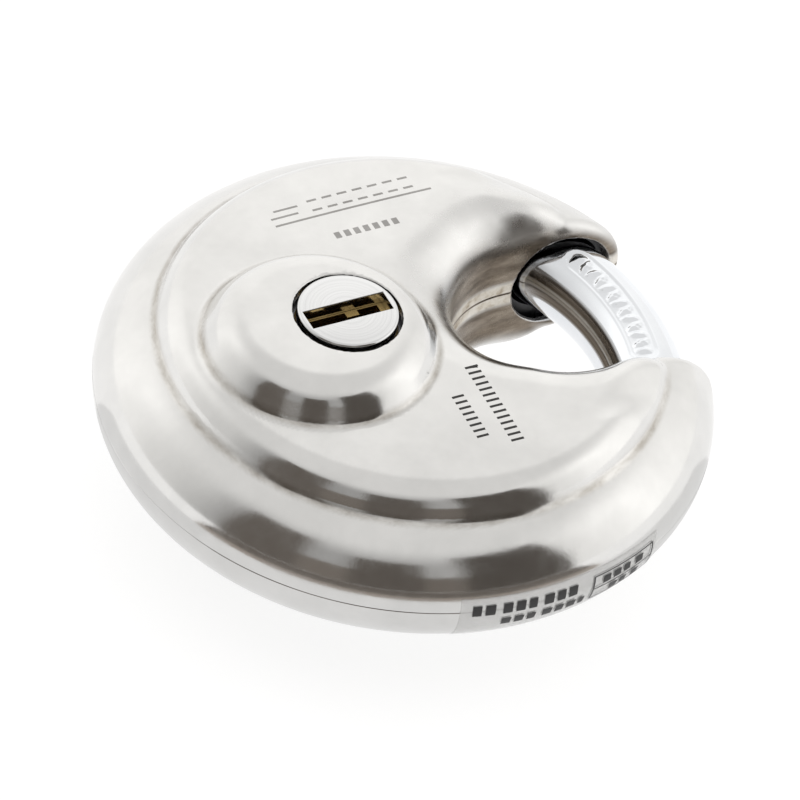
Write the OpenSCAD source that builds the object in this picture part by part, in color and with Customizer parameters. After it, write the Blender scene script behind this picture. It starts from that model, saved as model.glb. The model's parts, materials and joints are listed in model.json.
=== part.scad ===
// Disc padlock, 70 mm: two pressed stainless shells welded at the rim around a split die-cast core.
// A round shackle slides along a circular channel. A pinion on the key plug drives a toothed carrier
// riveted to the shackle, so turning the key swings the shackle out of the upper horn.
// Frame: origin at the centre of the rear boss's flat, +Z to the key face, +X out through the bite.

/* [Disc body] */
// Radius of the disc at its seam
rim_r = 35; // [34:0.5:38]
// Radial reach of the rounded ring, from its crown to the seam
ring_reach = 10; // [9:0.5:11]
// Height of the ring's crown above the seam
ring_rise = 8.5; // [8:0.25:9]
// Radius of the groove between the ring and the raised plateau
groove_r = 28.8; // [28.4:0.1:29.2]
// Height of the plateau above the seam
plateau_z = 11.5; // [11.2:0.1:12]
// Radius of the plateau's rounded edge
edge_round = 2.5; // [2.2:0.1:2.8]
// Thickness of the pressed sheet
wall = 1.25; // [1:0.05:1.4]

/* [Boss] */
// Distance of the boss centre from the disc axis, away from the bite
boss_offset = 11.9; // [11.7:0.1:12]
// Radius of the boss at its foot
boss_r = 13.35; // [13:0.05:13.4]
// Height of the boss above the plateau
boss_rise = 3.8; // [3.6:0.1:4]
// Rounding between the boss's flat and its flank
boss_round = 2.6; // [2.2:0.1:2.6]
// Steepness of the boss's flank
boss_slope = 53; // [52:1:55]

/* [Bite] */
// Distance of the centre of the round bottom of the bite from the disc axis
bite_x = 17.2; // [17:0.1:17.6]
// Radius of the bite, which is half of its width
bite_r = 10.6; // [10.2:0.1:10.8]
// Rounding between the plateau and the wall of the bite
bullnose_r = 6; // [5.6:0.1:6.2]
// Distance of the shackle holes from the disc axis
mouth_x = 25.4; // [25.3:0.1:25.6]
// Radius of the shackle holes
mouth_r = 5.9; // [5.6:0.1:6]

/* [Shackle] */
// Radius of the circle that the bar's centre line follows
shackle_path_r = 27.75; // [27.6:0.05:27.8]
// Radius of the bar
bar_r = 4.7; // [4.5:0.05:4.7]
// Angle of the tip, inside the upper horn
tip_angle = 37; // [35:1:40]
// Angle of the tail, inside the body
tail_angle = -126; // [-128:1:-126]
// Angle that the shackle swings to open
open_swing = 60; // [58:1:60]

/* [Lock cylinder] */
// Radius of the plug
plug_r = 5.6; // [5.4:0.05:5.6]
// Radius of the chromed plug cap
cap_r = 5.7; // [5.6:0.05:5.75]
// Radius of the hole in the boss around the cap
cap_hole_r = 6.15; // [6:0.05:6.3]
// Radius of the cylinder housing
housing_r = 8.2; // [8:0.1:8.2]
// Number of pin stacks
pin_count = 5; // [5:1:5]
// Radius of the pins
pin_r = 1.05; // [0.9:0.05:1.05]
// Distance between pin stacks
pin_pitch = 2.45; // [2.4:0.05:2.45]

/* [Gear drive] */
// Tooth module
tooth_module = 1.12; // [1.1:0.01:1.13]
// Teeth on the pinion
pinion_teeth = 16; // [16:1:16]
// Teeth that a full ring of the carrier's pitch would have
carrier_teeth = 32; // [32:1:32]
// Backlash taken off the pinion's teeth
backlash = 0.14; // [0.1:0.01:0.2]

/* [Label] */
// Angle along the rim at which the label starts
label_start = -106; // [-110:1:-100]
// Angle that the label covers
label_sweep = 44; // [40:1:48]

/* [Hidden] */
$fn = 72;

// Height of the seam, so that the rear boss rests on z = 0
seam_z = plateau_z + boss_rise;
// The plug turns about the pinion's centre, where the two pitch circles meet
pitch_r = tooth_module * carrier_teeth / 2;
pinion_pitch_r = tooth_module * pinion_teeth / 2;
plug_offset = pitch_r - pinion_pitch_r;
boss_top_z = plateau_z + boss_rise;
ring_c = rim_r - ring_reach;
edge_c = 25.4;
ring_inner_r = 26.5;
boss_flat_r = boss_r - boss_round * sin(boss_slope)
    - (boss_rise - boss_round * (1 - cos(boss_slope))) / tan(boss_slope);
through = 20;

// Gaps between neighbours that don't move on each other, and between those that do
seat_gap = 0.25;
run_gap = 0.05;
core_inset = wall + seat_gap;
channel_r = bar_r + 0.35;
channel_end = 45;
channel_start = tail_angle - open_swing - 3;

// Levels inside the lock, from the seam
housing_front_z = 11.9;
washer_front_z = 13.3;
washer_r = 7.1;
housing_rear_z = -4.6;
bible_front_z = 8;
bible_x = 4;
bible_half_w = 2.3;
first_pin_z = 6.6;
cap_rear_z = boss_top_z - wall;
cap_front_z = boss_top_z + 0.35;
clip_z = -5.1;
plug_rear_z = -5.4;
gear_front_z = -5.6;
gear_rear_z = -9;
pivot_rear_z = -12.6;
pivot_r = 2;
drive_square = 4.2;

// Keyway, as seen from the front
keyway_len = 8.6;
keyway_w = 2.3;
cap_slot_len = 9.8;
cap_slot_w = 2.85;
ward_depth = 0.75;
ward_len = 1.5;

// Toothed carrier and the lug that joins it to the shackle
sector_start = 168;
sector_sweep = 84;
sector_r = 24.4;
lug_start = 234.5;
lug_sweep = 16;
lug_w = 6.2;
lug_inner_r = 20.5;
lug_outer_r = 26;
lug_top_z = -0.6;
rivet_path_r = 22.4;
rivet_angles = [238.5, 246.5];
rivet_r = 0.8;
rivet_head_r = 1.25;
rivet_head_h = 0.8;
stop_path_r = 20.5;
stop_r = 1.25;
stop_lead = asin((stop_r + 0.1) / stop_path_r);
stop_angles = [sector_start - open_swing - stop_lead, sector_start + sector_sweep + stop_lead];

// Screws that hold the core halves together, as [angle, radius]
screw_places = [[66, 27], [108, 27.5], [150, 27], [300, 16.5]];
screw_r = 1.5;
screw_head_r = 2.6;
screw_head_h = 2;
screw_front_z = 5;
screw_rear_z = -6;

pin_bore_r = pin_r + 0.07;
shear_x = plug_r;
key_pin_lengths = [3.2, 4.1, 2.7, 3.7, 3.1];
driver_len = 2.6;
spring_turns = 4;
spring_wire_r = 0.16;

// Points along a stretch of an ellipse
function arc(c, rx, ry, from, to, steps) =
    [for (k = [0:steps]) let (a = from + (to - from) * k / steps) [c[0] + rx * cos(a), c[1] + ry * sin(a)]];

// Half section of the plateau, set in by a sheet thickness or more. Its step wall runs on into the ring
function plateau_section(inset, bottom) =
    let (
        edge_z = plateau_z - edge_round,
        groove_z = ring_rise * sin(acos((groove_r - ring_c) / ring_reach)),
        lean = (groove_r - edge_c - edge_round) / (edge_z - groove_z),
        wall_r = edge_c + edge_round - inset
    )
    concat(
        [[0, bottom], [wall_r + lean * 3, bottom], [wall_r + lean * 3, edge_z - 3]],
        arc([edge_c, edge_z], edge_round - inset, edge_round - inset, 0, 90, 5),
        [[0, plateau_z - inset]]
    );

// Half section of the rounded ring
function ring_section(inset, bottom) =
    let (inner = acos((ring_inner_r - ring_c) / (ring_reach - inset)))
    concat(
        [[ring_inner_r, bottom]],
        bottom < 0 ? [[rim_r - inset, bottom]] : [],
        arc([ring_c, 0], ring_reach - inset, ring_rise - inset, 0, inner, 10)
    );

// Section of what the bullnose takes away, from the wall of the bite outwards
function bullnose_section(inset) =
    let (r = bullnose_r - inset, top = plateau_z - inset)
    concat(
        [[-1, top - r]],
        [for (k = [0:6]) [r - r * cos(15 * k), top - r + r * sin(15 * k)]],
        [[r, plateau_z + 1], [-1, plateau_z + 1]]
    );

// Involute gear outline: half angle of a tooth at radius r, for a tooth of thickness t on the pitch circle
function involute(r, base) = tan(acos(base / r)) * 180 / PI - acos(base / r);
function half_tooth(r, pitch, t) =
    let (base = pitch * cos(20), rr = max(r, base))
    t / (2 * pitch) * 180 / PI + involute(pitch, base) - involute(rr, base);
function gear_outline(teeth, pitch, tip, root, t) =
    let (radii = [for (k = [0:5]) root + (tip - root) * k / 5])
    [
        for (n = [0:teeth - 1]) let (mid = 360 * n / teeth)
            each concat(
                [for (r = radii) let (h = half_tooth(r, pitch, t)) r * [cos(mid - h), sin(mid - h)]],
                [for (k = [5:-1:0]) let (r = radii[k], h = half_tooth(r, pitch, t)) r * [cos(mid + h), sin(mid + h)]]
            )
    ];

// Moves what is drawn about the centre of the disc, in the plane of the seam
module from_centre() {
    translate([boss_offset, 0, seam_z]) children();
}

module at_polar(angle, radius) {
    rotate([0, 0, angle]) translate([radius, 0, 0]) children();
}

module on_plug_axis() {
    translate([-plug_offset, 0, 0]) children();
}

// Upright cylinder between two levels
module post(r, z0, z1) {
    translate([0, 0, z0]) cylinder(r = r, h = z1 - z0);
}

// Upright square bar between two levels
module square_bar(w, z0, z1) {
    translate([-w / 2, -w / 2, z0]) cube([w, w, z1 - z0]);
}

module boss(inset, bottom) {
    round_r = boss_round - inset;
    straight_h = boss_rise - boss_round + inset + round_r * cos(boss_slope);
    foot_r = boss_flat_r + round_r * sin(boss_slope) + straight_h / tan(boss_slope);
    translate([-boss_offset, 0, 0]) rotate_extrude()
        polygon(concat([[0, bottom], [foot_r, bottom], [foot_r, plateau_z - inset]],
            arc([boss_flat_r, boss_top_z - boss_round], round_r, round_r, 90 - boss_slope, 90, 5),
            [[0, boss_top_z - inset]]));
}

module bite(inset) {
    r = bite_r + inset;
    translate([bite_x, 0, -1]) {
        cylinder(r = r, h = through + 1);
        translate([0, -r, 0]) cube([rim_r, 2 * r, through + 1]);
    }
}

module bullnose(inset) {
    r = bite_r + inset;
    translate([bite_x, 0, 0]) {
        rotate([0, 0, 90]) rotate_extrude(angle = 180)
            translate([r, 0]) polygon(bullnose_section(inset));
        for (side = [0, 1]) mirror([0, side, 0])
            translate([0, r, 0]) rotate([90, 0, 90]) linear_extrude(rim_r)
                polygon(bullnose_section(inset));
    }
}

// One half of the disc, set in from the outer surface. The ring is cut off square at the bite
module half_disc(inset, bottom) {
    difference() {
        union() {
            difference() {
                union() {
                    rotate_extrude() polygon(plateau_section(inset, bottom));
                    boss(inset, bottom);
                }
                bullnose(inset);
            }
            rotate_extrude() polygon(ring_section(inset, bottom));
        }
        bite(inset);
    }
}

module mouths() {
    depth = wall + seat_gap;
    for (side = [-1, 1])
        translate([mouth_x, side * (bite_r + depth / 2 - 0.2), 0]) rotate([90, 0, 0])
            cylinder(r = mouth_r, h = depth + 0.6, center = true);
}

// The hollow reaches a little past the seam so that it cuts clean
module shell_half() {
    difference() {
        half_disc(0, 0);
        half_disc(wall, -0.5);
        mouths();
    }
}

module front_shell() {
    color("gainsboro") from_centre() difference() {
        shell_half();
        on_plug_axis() post(cap_hole_r, plateau_z, through);
    }
}

module rear_shell() {
    color("gainsboro") from_centre() mirror([0, 0, 1]) shell_half();
}

// Room that both core halves leave for the shackle, its lug and the lock cylinder
module core_hollows() {
    rotate([0, 0, channel_start]) rotate_extrude(angle = channel_end - channel_start)
        translate([shackle_path_r, 0]) circle(r = channel_r);
    rotate([0, 0, lug_start - open_swing - 3]) rotate_extrude(angle = lug_sweep + open_swing + 6)
        translate([lug_inner_r - 0.3, gear_front_z + 0.1])
            square([lug_outer_r - lug_inner_r + 0.8, lug_top_z - gear_front_z + 0.2]);
    on_plug_axis() post(housing_r + 0.15, gear_front_z + 0.2, through);
    translate([-plug_offset, -bible_half_w - 0.2, gear_front_z + 0.2])
        cube([plug_offset + bible_x + 1.6, 2 * bible_half_w + 0.4, through]);
    for (place = screw_places) at_polar(place[0], place[1]) {
        post(screw_r + 0.05, screw_rear_z, screw_front_z + 0.2);
        post(screw_head_r + 0.1, -through, screw_rear_z + screw_head_h);
    }
}

module core_front() {
    color("darkgray") from_centre() difference() {
        half_disc(core_inset, 0);
        core_hollows();
    }
}

module core_rear() {
    cavity_sweep = sector_sweep + open_swing + 2 * stop_lead + 8;
    color("darkgray") from_centre() difference() {
        mirror([0, 0, 1]) half_disc(core_inset, 0);
        core_hollows();
        on_plug_axis() post(pinion_pitch_r + tooth_module + 0.3, gear_rear_z - 0.2, gear_front_z + 0.3);
        rotate([0, 0, stop_angles[0] - 4]) rotate_extrude(angle = cavity_sweep)
            translate([pitch_r - tooth_module - 0.4, gear_rear_z - 0.2])
                square([sector_r - pitch_r + tooth_module + 0.7, gear_front_z - gear_rear_z + 0.4]);
        on_plug_axis() post(pivot_r + run_gap, pivot_rear_z - 0.2, gear_rear_z);
        for (a = stop_angles) at_polar(a, stop_path_r) post(stop_r + 0.02, gear_rear_z - 0.7, -3);
    }
}

module core_screw() {
    difference() {
        union() {
            post(screw_r, screw_rear_z, screw_front_z);
            post(screw_head_r, screw_rear_z, screw_rear_z + screw_head_h - 0.05);
        }
        translate([0, 0, screw_rear_z - 1]) cylinder(r = 1.45, h = 2.2, $fn = 6);
    }
}

module core_screws() {
    color("silver") from_centre() for (place = screw_places) at_polar(place[0], place[1]) core_screw();
}

module at_pins() {
    for (n = [0:pin_count - 1]) at_pin(n) children();
}

// Turns +Z to +X at a pin's height on the plug axis
module at_pin(n) {
    on_plug_axis() translate([0, 0, first_pin_z - n * pin_pitch]) rotate([0, 90, 0]) children();
}

module cylinder_housing() {
    color("goldenrod") from_centre() difference() {
        union() {
            on_plug_axis() post(housing_r, housing_rear_z, housing_front_z);
            translate([-plug_offset, -bible_half_w, housing_rear_z])
                cube([plug_offset + bible_x, 2 * bible_half_w, bible_front_z - housing_rear_z]);
        }
        on_plug_axis() post(plug_r + run_gap, housing_rear_z - 1, housing_front_z + 1);
        at_pins() post(pin_bore_r, 0, plug_offset + bible_x + 1);
    }
}

module chamber_cover() {
    color("tan") from_centre() translate([bible_x + 0.02, -1.8, housing_rear_z + 0.1])
        cube([0.45, 3.6, bible_front_z - housing_rear_z - 0.3]);
}

module anti_drill_washer() {
    color("dimgray") from_centre() on_plug_axis() difference() {
        post(washer_r, housing_front_z + 0.02, washer_front_z);
        post(plug_r + 0.3, housing_front_z - 1, through);
    }
}

module stop_pins() {
    color("silver") from_centre() for (a = stop_angles) at_polar(a, stop_path_r)
        post(stop_r, gear_rear_z - 0.6, -3.1);
}

// Bent wire of one coil spring, swept along its turns
module spring(len, coil_r) {
    sides = 5;
    steps = spring_turns * 12;
    rise = (len - 2 * spring_wire_r) / steps;
    rings = [for (k = [0:steps]) let (a = 30 * k) [for (s = [0:sides - 1])
        let (b = 360 * s / sides, r = coil_r + spring_wire_r * cos(b))
        [r * cos(a), r * sin(a), spring_wire_r + k * rise + spring_wire_r * sin(b)]]];
    sheet = [for (k = [0:steps - 1]) for (s = [0:sides - 1]) let (t = (s + 1) % sides)
        [k * sides + s, k * sides + t, (k + 1) * sides + t, (k + 1) * sides + s]];
    ends = [[for (s = [sides - 1:-1:0]) s], [for (s = [0:sides - 1]) steps * sides + s]];
    polyhedron(points = [for (ring = rings) each ring], faces = concat(sheet, ends));
}

module pin_springs() {
    start = shear_x + 0.1 + driver_len + 0.05;
    color("silver") from_centre() at_pins() translate([0, 0, start])
        spring(plug_offset + bible_x - start - 0.05, pin_r - spring_wire_r - 0.1);
}

module rim_label() {
    film = 0.12;
    lift = 0.03;
    low = asin(-6 / ring_rise);
    high = asin(2 / ring_rise);
    color("white") from_centre() rotate([0, 0, label_start]) rotate_extrude(angle = label_sweep)
        polygon(concat(
            arc([ring_c, 0], ring_reach + lift + film, ring_rise + lift + film, low, high, 10),
            arc([ring_c, 0], ring_reach + lift, ring_rise + lift, high, low, 10)));
}

module shackle() {
    panel_depth = 0.35;
    color("lightsteelblue") from_centre() difference() {
        union() {
            rotate([0, 0, tail_angle]) rotate_extrude(angle = tip_angle - tail_angle)
                translate([shackle_path_r, 0]) circle(r = bar_r);
            rotate([0, 0, lug_start + lug_sweep / 2])
                translate([lug_inner_r, -lug_w / 2, gear_front_z + 0.15])
                    cube([lug_outer_r - lug_inner_r, lug_w, lug_top_z - gear_front_z - 0.15]);
        }
        rotate([0, 0, -17]) rotate_extrude(angle = 34) translate([shackle_path_r, 0]) rotate(42)
            translate([bar_r - panel_depth, -1.6]) square([2, 3.2]);
        for (a = rivet_angles) at_polar(a, rivet_path_r) {
            post(rivet_r + 0.02, -through, 0);
            post(rivet_head_r + 0.02, lug_top_z - rivet_head_h, 0);
        }
    }
}

module shackle_carrier() {
    space = tooth_module * PI / 2;
    color("slategray") from_centre() difference() {
        rotate([0, 0, sector_start]) rotate_extrude(angle = sector_sweep)
            translate([pitch_r - 0.8 * tooth_module, gear_rear_z])
                square([sector_r - pitch_r + 0.8 * tooth_module, gear_front_z - gear_rear_z]);
        translate([0, 0, gear_rear_z - 1]) linear_extrude(gear_front_z - gear_rear_z + 2)
            polygon(gear_outline(carrier_teeth, pitch_r, pitch_r + 1.25 * tooth_module,
                pitch_r - 1.1 * tooth_module, space));
        for (a = rivet_angles) at_polar(a, rivet_path_r) {
            post(rivet_r + 0.02, -through, 0);
            post(rivet_head_r + 0.02, -through, gear_rear_z + rivet_head_h);
        }
    }
}

module carrier_rivets() {
    color("silver") from_centre() for (a = rivet_angles) at_polar(a, rivet_path_r) {
        post(rivet_r, gear_rear_z + 0.02, lug_top_z - 0.02);
        post(rivet_head_r, gear_rear_z + 0.02, gear_rear_z + rivet_head_h - 0.02);
        post(rivet_head_r, lug_top_z - rivet_head_h + 0.02, lug_top_z - 0.02);
    }
}

// Section of the keyway: a slot with a ward standing out from each side
module keyway() {
    difference() {
        square([keyway_len, keyway_w], center = true);
        translate([-2.9, -keyway_w]) square([ward_len, keyway_w / 2 + ward_depth]);
        translate([0.3, keyway_w / 2 - ward_depth]) square([ward_len, keyway_w]);
    }
}

module plug() {
    color("gold") from_centre() difference() {
        on_plug_axis() union() {
            post(plug_r, clip_z + 0.46, cap_rear_z - 0.05);
            post(plug_r - 0.7, clip_z - 0.01, clip_z + 0.47);
            post(plug_r, plug_rear_z, clip_z);
            square_bar(drive_square, gear_rear_z, plug_rear_z + 0.01);
            post(pivot_r, pivot_rear_z, gear_rear_z + 0.01);
        }
        on_plug_axis() translate([0, 0, housing_rear_z + 0.3]) linear_extrude(through) keyway();
        at_pins() post(pin_bore_r, 0, plug_r + 1);
    }
}

module plug_cap() {
    bevel = 0.2;
    color("lightsteelblue") from_centre() on_plug_axis() difference() {
        union() {
            post(cap_r, cap_rear_z, cap_front_z - bevel);
            translate([0, 0, cap_front_z - bevel]) cylinder(r1 = cap_r, r2 = cap_r - bevel, h = bevel);
        }
        translate([-cap_slot_len / 2, -cap_slot_w / 2, 0]) cube([cap_slot_len, cap_slot_w, through]);
    }
}

module plug_circlip() {
    color("dimgray") from_centre() on_plug_axis() difference() {
        post(plug_r + 1.2, clip_z + 0.03, clip_z + 0.43);
        post(plug_r - 0.65, clip_z - 1, clip_z + 1);
        translate([-plug_r - 2, -1.5, clip_z - 1]) cube([plug_r, 3, 2]);
    }
}

module drive_pinion() {
    thickness = tooth_module * PI / 2 - backlash;
    color("slategray") from_centre() on_plug_axis() difference() {
        translate([0, 0, gear_rear_z]) linear_extrude(gear_front_z - gear_rear_z)
            polygon(gear_outline(pinion_teeth, pinion_pitch_r, pinion_pitch_r + 0.9 * tooth_module,
                pinion_pitch_r - 1.25 * tooth_module, thickness));
        square_bar(drive_square + 0.04, -through, 0);
    }
}

// Key pin with a conical tip, ending just under the shear line
module key_pin(n) {
    tip = 0.7;
    start = shear_x - 0.1 - key_pin_lengths[n];
    color("gold") from_centre() at_pin(n) {
        post(pin_r, start + tip, shear_x - 0.1);
        translate([0, 0, start]) cylinder(r1 = 0.35, r2 = pin_r, h = tip);
    }
}

module driver_pin(n) {
    color("silver") from_centre() at_pin(n) post(pin_r, shear_x + 0.1, shear_x + 0.1 + driver_len);
}

front_shell();
rear_shell();
core_front();
core_rear();
core_screws();
cylinder_housing();
chamber_cover();
anti_drill_washer();
stop_pins();
pin_springs();
rim_label();
shackle();
shackle_carrier();
carrier_rivets();
plug();
plug_cap();
plug_circlip();
drive_pinion();
key_pin(0);  // key_pin_1
key_pin(1);  // key_pin_2
key_pin(2);  // key_pin_3
key_pin(3);  // key_pin_4
key_pin(4);  // key_pin_5
driver_pin(0);  // driver_pin_1
driver_pin(1);  // driver_pin_2
driver_pin(2);  // driver_pin_3
driver_pin(3);  // driver_pin_4
driver_pin(4);  // driver_pin_5
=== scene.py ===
import json
import math

import bmesh
import bpy
import numpy as np
from mathutils import Matrix, Vector


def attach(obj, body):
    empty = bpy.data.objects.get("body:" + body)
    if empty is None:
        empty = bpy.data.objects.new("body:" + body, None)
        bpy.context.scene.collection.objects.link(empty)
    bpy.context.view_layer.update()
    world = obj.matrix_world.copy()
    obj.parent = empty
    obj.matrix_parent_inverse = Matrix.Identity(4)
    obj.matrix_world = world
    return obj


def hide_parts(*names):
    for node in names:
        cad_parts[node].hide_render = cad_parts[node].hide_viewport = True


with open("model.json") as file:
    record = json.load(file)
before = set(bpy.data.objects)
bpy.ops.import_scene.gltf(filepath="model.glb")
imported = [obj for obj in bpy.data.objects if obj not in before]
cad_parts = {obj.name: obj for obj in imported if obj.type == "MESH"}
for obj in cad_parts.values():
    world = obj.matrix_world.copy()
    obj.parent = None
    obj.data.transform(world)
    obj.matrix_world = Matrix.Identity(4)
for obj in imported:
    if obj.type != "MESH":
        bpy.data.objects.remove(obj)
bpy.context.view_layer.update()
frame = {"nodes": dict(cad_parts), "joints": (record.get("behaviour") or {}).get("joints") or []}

MM = 0.001

SWING = next(j for j in frame["joints"] if j["name"] == "shackle_swing")
TURN = next(j for j in frame["joints"] if j["name"] == "plug_turn")
# The pieces are shaped in millimetres about the disc's centre, in the plane of the seam
CENTRE = np.array(SWING["pos_m"])
PLUG_X = (TURN["pos_m"][0] - SWING["pos_m"][0]) / MM

# The pressed body, in millimetres and radians: the ring around it, half an ellipse in section
RING_C, RING_REACH, RING_RISE = 25.0, 10.0, 8.5
WALL = 1.25
# The plateau, very slightly domed, and the step down to the groove, steeper below its crease
PLATEAU_Z, EDGE_R = 11.5, 3.2
DOME, DOME_R = 0.0011, 18.0
GROOVE_R, GROOVE_FILLET = 28.8, 0.45
STEP_LOW, STEP_HIGH = math.radians(63), math.radians(53)
CREASE_Z, CREASE_ROUND = 9.3, 4.0
# The boss off to one side, and the round hole in it for the plug's cap
BOSS_X, BOSS_FOOT_R, BOSS_TOP = -CENTRE[0] / MM, 13.35, CENTRE[2] / MM
BOSS_ROUND, BOSS_SLOPE, BOSS_FILLET = 4.2, math.radians(57), 0.5
HOLE_R, HOLE_EDGE, HOLE_FROM = 6.15, 0.22, 10
# The bite out of the rim: its edge is rolled over, wider at the inner end, tighter on the ring
BITE_X, BITE_R = 17.2, 10.6
ROLL_R, ROLL_MORE, ROLL_RING, ROLL_BOSS = 6.0, 2.0, 1.8, 3.0
CORNER_IN, CORNER_R = 2.6, 6.0
# The mouths in the bite's walls that the shackle goes through
MOUTH_X, MOUTH_R, MOUTH_EDGE = 25.5, 6.5, 0.35
MOUTH_SKIN, MOUTH_ROUND, MOUTH_END = 1.9, 1.0, 13.2
# The shackle's bar, along an arc about the disc's axis, in degrees
PATH_R, BAR_R = 27.75, 4.7
TIP_ANGLE, TAIL_ANGLE = 37, -126
CAP_R, CAP_TOP = 5.7, BOSS_TOP + 0.33


# ---------------------------------------------------------------- shape fields

def fuse(a, b, r):
    """Both shapes, with a fillet of radius r where they meet."""
    return np.maximum(r, np.minimum(a, b)) - np.hypot(np.maximum(r - a, 0), np.maximum(r - b, 0))


def meet(a, b, r):
    """What both shapes share, with its edge rounded by r."""
    return np.minimum(-r, np.maximum(a, b)) + np.hypot(np.maximum(r + a, 0), np.maximum(r + b, 0))


def round_over(top, flank, r, slope):
    """Two faces whose normals are slope apart, with a true circular rounding where they meet."""
    sin, cos = math.sin(slope), math.cos(slope)
    up = top + r
    out = (flank + r - up * cos) / sin
    rounded = (out > 0) & (out * cos < up * sin)
    return np.where(rounded, np.hypot(up, out) - r, np.maximum(top, flank))


def smooth(start, end, v):
    """0 before start, 1 after end, and eased between them."""
    t = np.clip((v - start) / (end - start), 0, 1)
    return t * t * (3 - 2 * t)


def ring_field(r, z):
    over = np.maximum(r - RING_C, 0)
    k = np.hypot(over / RING_REACH, z / RING_RISE)
    g = np.hypot(over / RING_REACH ** 2, z / RING_RISE ** 2)
    return (k - 1) * k / np.maximum(g, 1e-9)


def step_field(r, z):
    """The sloping face between the plateau and the groove."""
    groove_z = RING_RISE * math.sin(math.acos((GROOVE_R - RING_C) / RING_REACH))
    crease_r = GROOVE_R - (CREASE_Z - groove_z) / math.tan(STEP_LOW)
    below = (r - GROOVE_R) * math.sin(STEP_LOW) + (z - groove_z) * math.cos(STEP_LOW)
    above = (r - crease_r) * math.sin(STEP_HIGH) + (z - CREASE_Z) * math.cos(STEP_HIGH)
    return round_over(above, below, CREASE_ROUND, STEP_LOW - STEP_HIGH)


def boss_field(x, y, z):
    r = np.hypot(x - BOSS_X, y)
    flank = (r - BOSS_FOOT_R) * math.sin(BOSS_SLOPE) + (z - PLATEAU_Z) * math.cos(BOSS_SLOPE)
    return round_over(z - BOSS_TOP, flank, BOSS_ROUND, BOSS_SLOPE)


def plateau_height(x, y):
    return PLATEAU_Z + DOME * (DOME_R ** 2 - x * x - y * y)


def bite_field(x, y):
    return np.where(x < BITE_X, np.hypot(x - BITE_X, y), np.abs(y)) - BITE_R


def solid_field(x, y, z):
    """The outside of the closed lock, both halves."""
    z = np.abs(z)
    r = np.hypot(x, y)
    bite = -bite_field(x, y)
    inner = smooth(0.55, 0.98, (BITE_X - x) / np.maximum(np.hypot(x - BITE_X, y), 1e-6))
    roll = ROLL_R + ROLL_MORE * inner - ROLL_MORE * smooth(21, 27, r)
    # The plateau's two corners beside the bite are rounded in plan
    wall = meet(step_field(r, z), bite - CORNER_IN, CORNER_R)
    top = meet(z - plateau_height(x, y), bite, roll)
    # Its edge has the exact rounding only away from the bite, where both faces are plain
    away = smooth(7, 11, -bite)
    plateau = away * round_over(top, wall, EDGE_R, STEP_HIGH) + (1 - away) * meet(top, wall, EDGE_R)
    ring_roll = ROLL_RING + (roll - ROLL_RING) * (1 - smooth(23, 28, r))
    ring = meet(ring_field(r, z), bite, ring_roll)
    body = fuse(ring, plateau, GROOVE_FILLET)
    return fuse(body, meet(boss_field(x, y, z), bite, ROLL_BOSS), BOSS_FILLET)


def shell_field(p, with_hole):
    """The pressed sheet, WALL thick, with the shackle's mouths and the plug's hole cut out."""
    x, y, z = p[..., 0], p[..., 1], p[..., 2]
    outside = solid_field(x, y, z)
    sheet = np.maximum(outside, -(outside + WALL))
    ring = ring_field(np.hypot(x, y), np.abs(z))
    mouth = meet(np.hypot(x - MOUTH_X, z) - MOUTH_R, ring + MOUTH_SKIN, MOUTH_ROUND)
    mouth = np.maximum(mouth, np.abs(y) - MOUTH_END)
    shell = meet(sheet, -mouth, MOUTH_EDGE)
    if with_hole:
        hole = np.maximum(np.hypot(x - PLUG_X, y) - HOLE_R, HOLE_FROM - z)
        shell = meet(shell, -hole, HOLE_EDGE)
    return shell


def gradient(field, p):
    h = 0.012
    g = np.empty_like(p)
    for k in range(3):
        e = np.zeros(3)
        e[k] = h
        g[:, k] = (field(p + e) - field(p - e)) / (2 * h)
    return g


def unit(v):
    return v / np.maximum(np.linalg.norm(v, axis=-1, keepdims=True), 1e-9)


def project(field, p, rounds):
    """Moves points onto the zero level of a field, in short steps along its gradient."""
    longest = 0.3
    for _ in range(rounds):
        g = gradient(field, p)
        step = field(p) / np.maximum((g * g).sum(1), 0.2)
        p = p - np.clip(step, -longest, longest)[:, None] * g
    return p


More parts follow.
